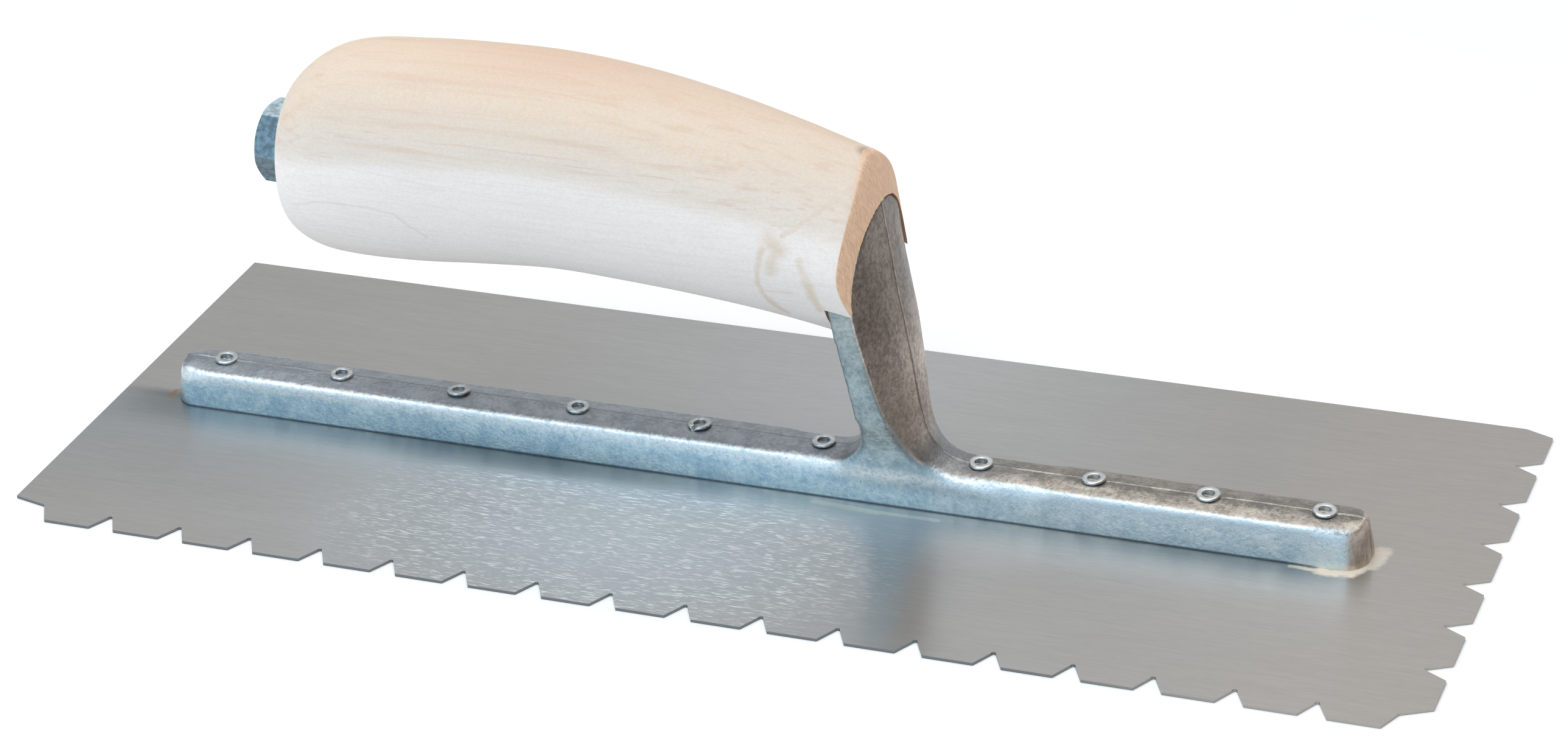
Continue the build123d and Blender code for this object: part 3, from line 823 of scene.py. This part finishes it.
def make_mounting(material):
    """The casting, softened as a casting is, with its parting line and uneven skin."""
    raw = filled_casting()
    remesh = raw.modifiers.new("remesh", "REMESH")
    remesh.mode = "VOXEL"
    remesh.voxel_size = VOXEL * MM
    rounded = raw.modifiers.new("soften", "SMOOTH")
    rounded.factor = 0.5
    rounded.iterations = ROUNDING_STEPS
    mounting = baked(raw, "mounting_casting", material)
    mesh = mounting.data
    cut_casting(mesh)
    for box in SOFT_BOXES:
        soften_box(mesh, *box)
    points = coordinates(mesh)
    outward = normals(mesh)
    broad, small = (noise_at(points, size, offset) * high for size, offset, high in SKIN_LUMPS)
    across = (points[:, 1] / MM - FLASH_Y) / FLASH_WIDTH
    height = FLASH_HEIGHT + FLASH_VARIATION * noise_at(points, (0.2, 0, 0.2), 3)
    ridge = np.exp(-(across**2)) * height
    shown = (outward[:, 2] > 0.3) | (outward[:, 0] > 0.5)
    lift = broad + small + np.where(shown, ridge, 0.0)
    lift *= np.clip((points[:, 2] / MM - BLADE_TOP) / SKIN_FADE, 0, 1)
    set_coordinates(mesh, points + outward * lift[:, None] * MM)
    smooth(mounting)
    ride(mounting, "cast_aluminium", "mounting")


# ---------------------------------------------------------------- handle


def front_x(y, z):
    """X of the handle's dressed front end."""
    axis = CURVE_AXIS_X - math.tan(CURVE_LEAN) * (z - CURVE_HEIGHT)
    axis = axis - TOP_DRESSING * np.maximum(z - TOP_DRESSING_START, 0) ** 2
    return axis + np.sqrt(CURVE_RADIUS**2 - y**2) / math.cos(CURVE_LEAN)


def handle_values(x):
    """Rows of section values at each x, on smooth curves through the stations."""
    stations = HANDLE_STATIONS[:, 0]
    values = HANDLE_STATIONS[:, 1:]
    slopes = np.gradient(values, stations, axis=0)
    i = np.clip(np.searchsorted(stations, x) - 1, 0, len(stations) - 2)
    step = (stations[i + 1] - stations[i])[:, None]
    t = (x - stations[i])[:, None] / step
    start = values[i] * (2 * t**3 - 3 * t**2 + 1) + slopes[i] * step * (t**3 - 2 * t**2 + t)
    end = values[i + 1] * (3 * t**2 - 2 * t**3) + slopes[i + 1] * step * (t**3 - t**2)
    return start + end


def handle_ring(x, share=1.0):
    """Points round the handle, in millimetres, at one x or one for each point."""
    x = np.broadcast_to(np.asarray(x, float), (AROUND,))
    underside, top, half_width, widest_share, above, below = handle_values(x).T
    widest = underside + widest_share * (top - underside)
    angles = np.linspace(0, 2 * math.pi, AROUND, endpoint=False)
    across, up = np.cos(angles), np.sin(angles)
    height = np.where(up > 0, top - widest, widest - underside)
    roundness = np.where(up > 0, above, below)
    reach = (np.abs(across) ** roundness + np.abs(up) ** roundness) ** (-1 / roundness)
    y = half_width * reach * across * share
    z = REAR_CENTRE_Z + (widest + height * reach * up - REAR_CENTRE_Z) * share
    return np.stack([x, y, z], axis=1)


def rear_share(x):
    """How far the rear end has drawn in at x."""
    q = min(1.0, max(0.0, (REAR_X + REAR_ROUND - x) / REAR_ROUND))
    return REAR_SMALLEST + (1 - REAR_SMALLEST) * (1 - q**REAR_POWER) ** (1 / REAR_POWER)


def towards(middle, points):
    """Unit steps across the handle from each point towards the middle."""
    inward = middle - points
    inward[:, 0] = 0
    return inward / np.linalg.norm(inward, axis=1)[:, None]


def front_edge():
    """The handle's outline where the dressed front end cuts it."""
    x = np.full(AROUND, FRONT_START)
    for _ in range(8):
        ring = handle_ring(x)
        x = front_x(ring[:, 1], ring[:, 2])
    return x


def handle_skin(material):
    """The handle's outside, from the middle of its rear end to the middle of its front end."""
    rings = [handle_ring(REAR_X, share) for share in REAR_CAP_SHARES]
    for turn in np.linspace(1, 0, REAR_RINGS, endpoint=False):
        x = REAR_X + REAR_ROUND * (1 - math.sin(turn * math.pi / 2))
        rings.append(handle_ring(x, rear_share(x)))
    for x in np.linspace(REAR_X + REAR_ROUND, FRONT_START, MIDDLE_RINGS, endpoint=False):
        rings.append(handle_ring(x))
    edge_x = front_edge()
    angles = np.linspace(0, 2 * math.pi, AROUND, endpoint=False)
    rounding = EDGE_ROUNDING + CROWN_ROUNDING * np.clip(np.sin(angles), 0, 1) ** 5
    for share in np.linspace(0, 1, FRONT_RINGS):
        reach = edge_x - FRONT_START - rounding - EDGE_GAP
        rings.append(handle_ring(FRONT_START + reach * share))
    edge = handle_ring(edge_x)
    middle = np.array([0, 0, FRONT_MIDDLE_Z])
    inward = towards(middle, edge)
    torn = np.abs(noise_at(edge * MM, (1.4, 1.4, 1.4), 21)) * EDGE_TEAR
    torn = torn * np.clip(np.cos(angles - math.pi) + 0.6, 0, 1)
    for turn in np.radians((20, 45, 70)):
        ring = edge + inward * (rounding * (1 - math.cos(turn)))[:, None]
        ring[:, 0] = edge_x - (rounding + torn) * (1 - math.sin(turn))
        rings.append(ring)
    edge = edge + inward * rounding[:, None]
    for share in FRONT_CAP_SHARES:
        ring = middle + (edge - middle) * share
        ring[:, 0] = front_x(ring[:, 1], ring[:, 2])
        rings.append(ring)
    return prism("skin", [ring * MM for ring in rings], material)


def prism(name, outlines, material):
    """Closed solid through matching outlines."""
    count = len(outlines[0])
    vertices = np.concatenate(outlines)
    faces = []
    for row in range(len(outlines) - 1):
        for i in range(count):
            j = (i + 1) % count
            low, high = row * count, (row + 1) * count
            faces.append((low + i, low + j, high + j, high + i))
    faces.append(tuple(range(count))[::-1])
    last = (len(outlines) - 1) * count
    faces.append(tuple(range(last, last + count)))
    return mesh_object(name, vertices, faces, material)


def pocket_outline(x, torn):
    """Arch outline of the pocket at x, with torn fibres of that many millimetres."""
    angles = np.linspace(0, math.pi, 150)
    y = POCKET_HALF_WIDTH * np.cos(angles)
    z = POCKET_SPRING + (POCKET_TOP - POCKET_SPRING) * np.sin(angles)
    legs = np.arange(POCKET_FLOOR, POCKET_SPRING, 0.5)
    side = np.full(len(legs), POCKET_HALF_WIDTH)
    y = np.concatenate([side, y, -side])
    z = np.concatenate([legs, z, legs[::-1]])
    points = np.stack([np.full(len(y), x), y, z], axis=1) * MM
    ragged = np.abs(noise_at(points, (0, 1.1, 1.1), 11)) * torn
    middle = np.array([0, 0, POCKET_MIDDLE]) * MM
    return points + towards(middle, points) * (ragged[:, None] * MM)


STUD_REAR = Vector((-101.0, 0, 60.1)) * MM
STUD_TILT = math.radians(3)
STUD_ALONG = Vector((math.cos(STUD_TILT), 0, -math.sin(STUD_TILT)))
STUD_UP = Vector((math.sin(STUD_TILT), 0, math.cos(STUD_TILT)))


def turned(name, profile, material, sides=72, origin=STUD_REAR, along=STUD_ALONG, up=STUD_UP):
    """Solid of revolution, its faces pointing inward. The profile is distance along and radius."""
    side = along.cross(up)
    rings = []
    for distance, radius in profile:
        centre = origin + along * (distance * MM)
        ring = []
        for i in range(sides):
            angle = 2 * math.pi * i / sides
            ring.append(centre + (side * math.cos(angle) + up * math.sin(angle)) * (radius * MM))
        rings.append(np.array(ring))
    return prism(name, rings, material)


def cut_away(obj, cutter):
    modifier = obj.modifiers.new("cut", "BOOLEAN")
    modifier.operation = "DIFFERENCE"
    modifier.solver = "EXACT"
    modifier.object = cutter


def make_handle(material):
    """The handle, with the pocket for the post cut out of it.

    The bore's cutter is inside out, so it cuts nothing and the wood round the stud is whole.
    """
    skin = handle_skin(material)
    outlines = [pocket_outline(POCKET_WALL + depth, torn) for depth, torn in POCKET_OUTLINES]
    pocket = prism("pocket", outlines, material)
    bore = turned("bore", BORE_PROFILE, material)
    for cutter in (pocket, bore):
        cut_away(skin, cutter)
    handle = baked(skin, "handle_grip", material)
    for cutter in (pocket, bore):
        bpy.data.objects.remove(cutter)
    smooth(handle)
    handle.data.set_sharp_from_angle(angle=HANDLE_SHARP_ANGLE)
    ride(handle, "handle_wood", "handle")


# ---------------------------------------------------------------- rivets

UP = Vector((0, 0, 1))
FORWARD = Vector((1, 0, 0))
# Each ring's lean in degrees towards +X and +Y and its stretch along Y.
RING_SHAPES = [
    (-5, 2, 1.05), (-3, 3, 1.0), (2, -4, 1.03), (-3, 2, 1.04), (2, -2, 1.06),
    (1, 2, 1.0), (0, 3, 1.02), (4, 1, 1.0), (1, 3, 1.05), (-3, 2, 1.03),
]
# Height and radius along a rivet: its flange and shank, then the hollow in its ring.
RIVET_SHANK = [(0, 0.05), (0, 3.38), (0.6, 1.7), (8.6, 1.7)]
RING_BOWL = [(8.8, 1.15), (8.1, 1.1), (7.6, 0.9), (7.3, 0.5), (7.2, 0.05)]
# The ring's outer roll and inner lip as arcs: height, radius, size, first and last angle
# and number of points.
RING_ROLL = (9.25, 1.98, 0.34, -1.1, math.pi / 2, 9)
RING_LIP = (9.37, 1.38, 0.2, math.pi / 2, math.pi, 5)
RING_BASE = 8.8
RING_TOP = 9.72
RING_WOBBLE = 0.03
# What counts as ring lies above its base and outside this radius.
RING_INNER = 0.6
RING_SHARP_ANGLE = math.radians(50)
# One ring is split at this angle. The notch has a depth, a width in radians and the radius
# at which it starts.
SPLIT_RING = 5
SPLIT_ANGLE = math.radians(-104)
SPLIT_DEPTH = 0.75
SPLIT_WIDTH = 0.2
SPLIT_START = 0.9


def ring_arc(height, radius, size, first, last, count):
    """Profile points round an arc of the ring."""
    angles = np.linspace(first, last, count)
    return [(height + size * math.sin(a), radius + size * math.cos(a)) for a in angles]


def make_rivet(number, x, material):
    """Tubular rivet with a flattened, rolled ring, closed flush underneath."""
    profile = RIVET_SHANK + ring_arc(*RING_ROLL) + ring_arc(*RING_LIP) + RING_BOWL
    name = f"rivet_{number:02d}"
    rivet = turned(name + "_ring", profile, material, 72, Vector((x * MM, 0, 0)), UP, FORWARD)
    points = coordinates(rivet.data) / MM
    lean_x, lean_y, stretch = RING_SHAPES[number - 1]
    out = points - (x, 0, 0)
    radius = np.hypot(out[:, 0], out[:, 1])
    angle = np.arctan2(out[:, 1], out[:, 0])
    ring = (points[:, 2] > RING_BASE) & (radius > RING_INNER)
    wobble = noise_at(points * MM, (0.9, 0.9, 0.9), 7 * number)
    grow = 1 + np.where(ring, RING_WOBBLE * wobble, 0)
    points[:, 0] = x + out[:, 0] * grow
    points[:, 1] = out[:, 1] * grow * np.where(ring, stretch, 1)
    slope_x, slope_y = (math.tan(math.radians(lean)) for lean in (lean_x, lean_y))
    tilt = out[:, 0] * slope_x + out[:, 1] * slope_y
    points[:, 2] += np.where(ring, tilt - RING_WOBBLE * np.abs(wobble), 0)
    if number == SPLIT_RING:
        turn = np.abs(angle - SPLIT_ANGLE)
        split = np.exp(-((turn / SPLIT_WIDTH) ** 2)) * np.clip((radius - SPLIT_START) / 0.5, 0, 1)
        points[:, 2] -= np.where(ring, SPLIT_DEPTH * split, 0)
    points[ring, 2] = np.clip(points[ring, 2], RING_BASE - 0.1, RING_TOP)
    set_coordinates(rivet.data, points * MM)
    smooth(rivet)
    rivet.data.set_sharp_from_angle(angle=RING_SHARP_ANGLE)
    ride(rivet, "rivet_metal", name)


# ---------------------------------------------------------------- assembly

# How far the edges of the pieces kept from the CAD are rounded, and how sharp they are.
EDGE_WIDTHS = {"blade": 0.06, "nut": 0.25, "washer": 0.15, "stud": 0.1}
EDGE_ANGLE = math.radians(25)

steel = blade_steel()
aluminium = cast_aluminium()
rivet_plate = rivet_metal()
zinc = zinc_plate("zinc_nut", ZINC)
wood = handle_wood()

for name, material in (("blade", steel), ("stud", zinc), ("washer", zinc), ("nut", zinc)):
    node = nodes[name]
    node.data.materials.clear()
    node.data.materials.append(material)
for name, width in EDGE_WIDTHS.items():
    bevel = nodes[name].modifiers.new("edge", "BEVEL")
    bevel.width = width * MM
    bevel.segments = 2
    bevel.limit_method = "ANGLE"
    bevel.angle_limit = EDGE_ANGLE

make_mounting(aluminium)
make_handle(wood)
for number, x in enumerate(RIVET_LEFT + RIVET_RIGHT, start=1):
    make_rivet(number, x, rivet_plate)

# ---------------------------------------------------------------- floor, light and camera

# Places and sizes are in metres, the lens in millimetres, and the camera's turn in degrees
# about X, Y and Z.
FLOOR_HALF = 6.0
WORLD_STRENGTH = 0.88
CAMERA_LENS = 103.46
CAMERA_PLACE = (0.28571, -0.69807, 0.43493)
CAMERA_TURN = (61.285, 2.9415, 20.4428)
# Each light's place, what it points at, its size, its power in watts and its colour.
LIGHTS = {
    "key": ((-0.3, -0.5, 1.3), (0, 0, 0), (1.2, 0.8), 7.5, (0.97, 0.985, 1.0)),
    "top": ((0.1, 0.3, 1.5), (0, 0, 0), (1.6, 1.2), 6, (1.0, 0.97, 0.94)),
}


def make_floor():
    material, g, surface = new_material("floor")
    speckle = g.noise((0.05, 0.05, 0.05), 3, 0.5)
    finish_surface(g, surface, Base_Color=g.mix(speckle, *FLOOR_GREYS), Roughness=0.9)
    half = FLOOR_HALF
    corners = [(-half, -half, 0), (half, -half, 0), (half, half, 0), (-half, half, 0)]
    floor = mesh_object("floor", corners, [(0, 1, 2, 3)], material)


def area_light(name, place, aim, size, power, colour):
    data = bpy.data.lights.new(name, "AREA")
    data.shape = "RECTANGLE"
    data.size, data.size_y = size
    data.energy = power
    data.color = colour
    light = bpy.data.objects.new(name, data)
    light.location = place
    direction = Vector(aim) - Vector(place)
    light.rotation_euler = direction.to_track_quat("-Z", "Y").to_euler()
    bpy.context.scene.collection.objects.link(light)


def make_world():
    """Studio surroundings: pale above, cool in front, brown and dim to the right."""
    world = bpy.data.worlds.new("studio")
    bpy.context.scene.world = world
    world.use_nodes = True
    g = Graph(world.node_tree)
    x, y, z = g.axes(g.node("TexCoord").outputs["Generated"])
    colour = g.mix(g.ramp(z, 0.0, 0.9), WORLD_HORIZON, WORLD_ABOVE)
    colour = g.mix(g.ramp(y, 0.1, -0.7), colour, WORLD_FRONT)
    colour = g.mix(g.ramp(x, 0.2, 0.85), colour, WORLD_RIGHT)
    background = g.node("Background", {"Color": colour, "Strength": WORLD_STRENGTH})
    output = g.node("OutputWorld")
    g.tree.links.new(background.outputs[0], output.inputs["Surface"])


def make_camera():
    data = bpy.data.cameras.new("camera")
    data.lens = CAMERA_LENS
    data.sensor_width = 36
    data.clip_start = 0.01
    camera = bpy.data.objects.new("camera", data)
    camera.location = CAMERA_PLACE
    camera.rotation_euler = [math.radians(angle) for angle in CAMERA_TURN]
    bpy.context.scene.collection.objects.link(camera)
    bpy.context.scene.camera = camera


make_floor()
make_world()
for light_name, settings in LIGHTS.items():
    area_light(light_name, *settings)
make_camera()
bpy.context.scene.view_settings.view_transform = "Standard"
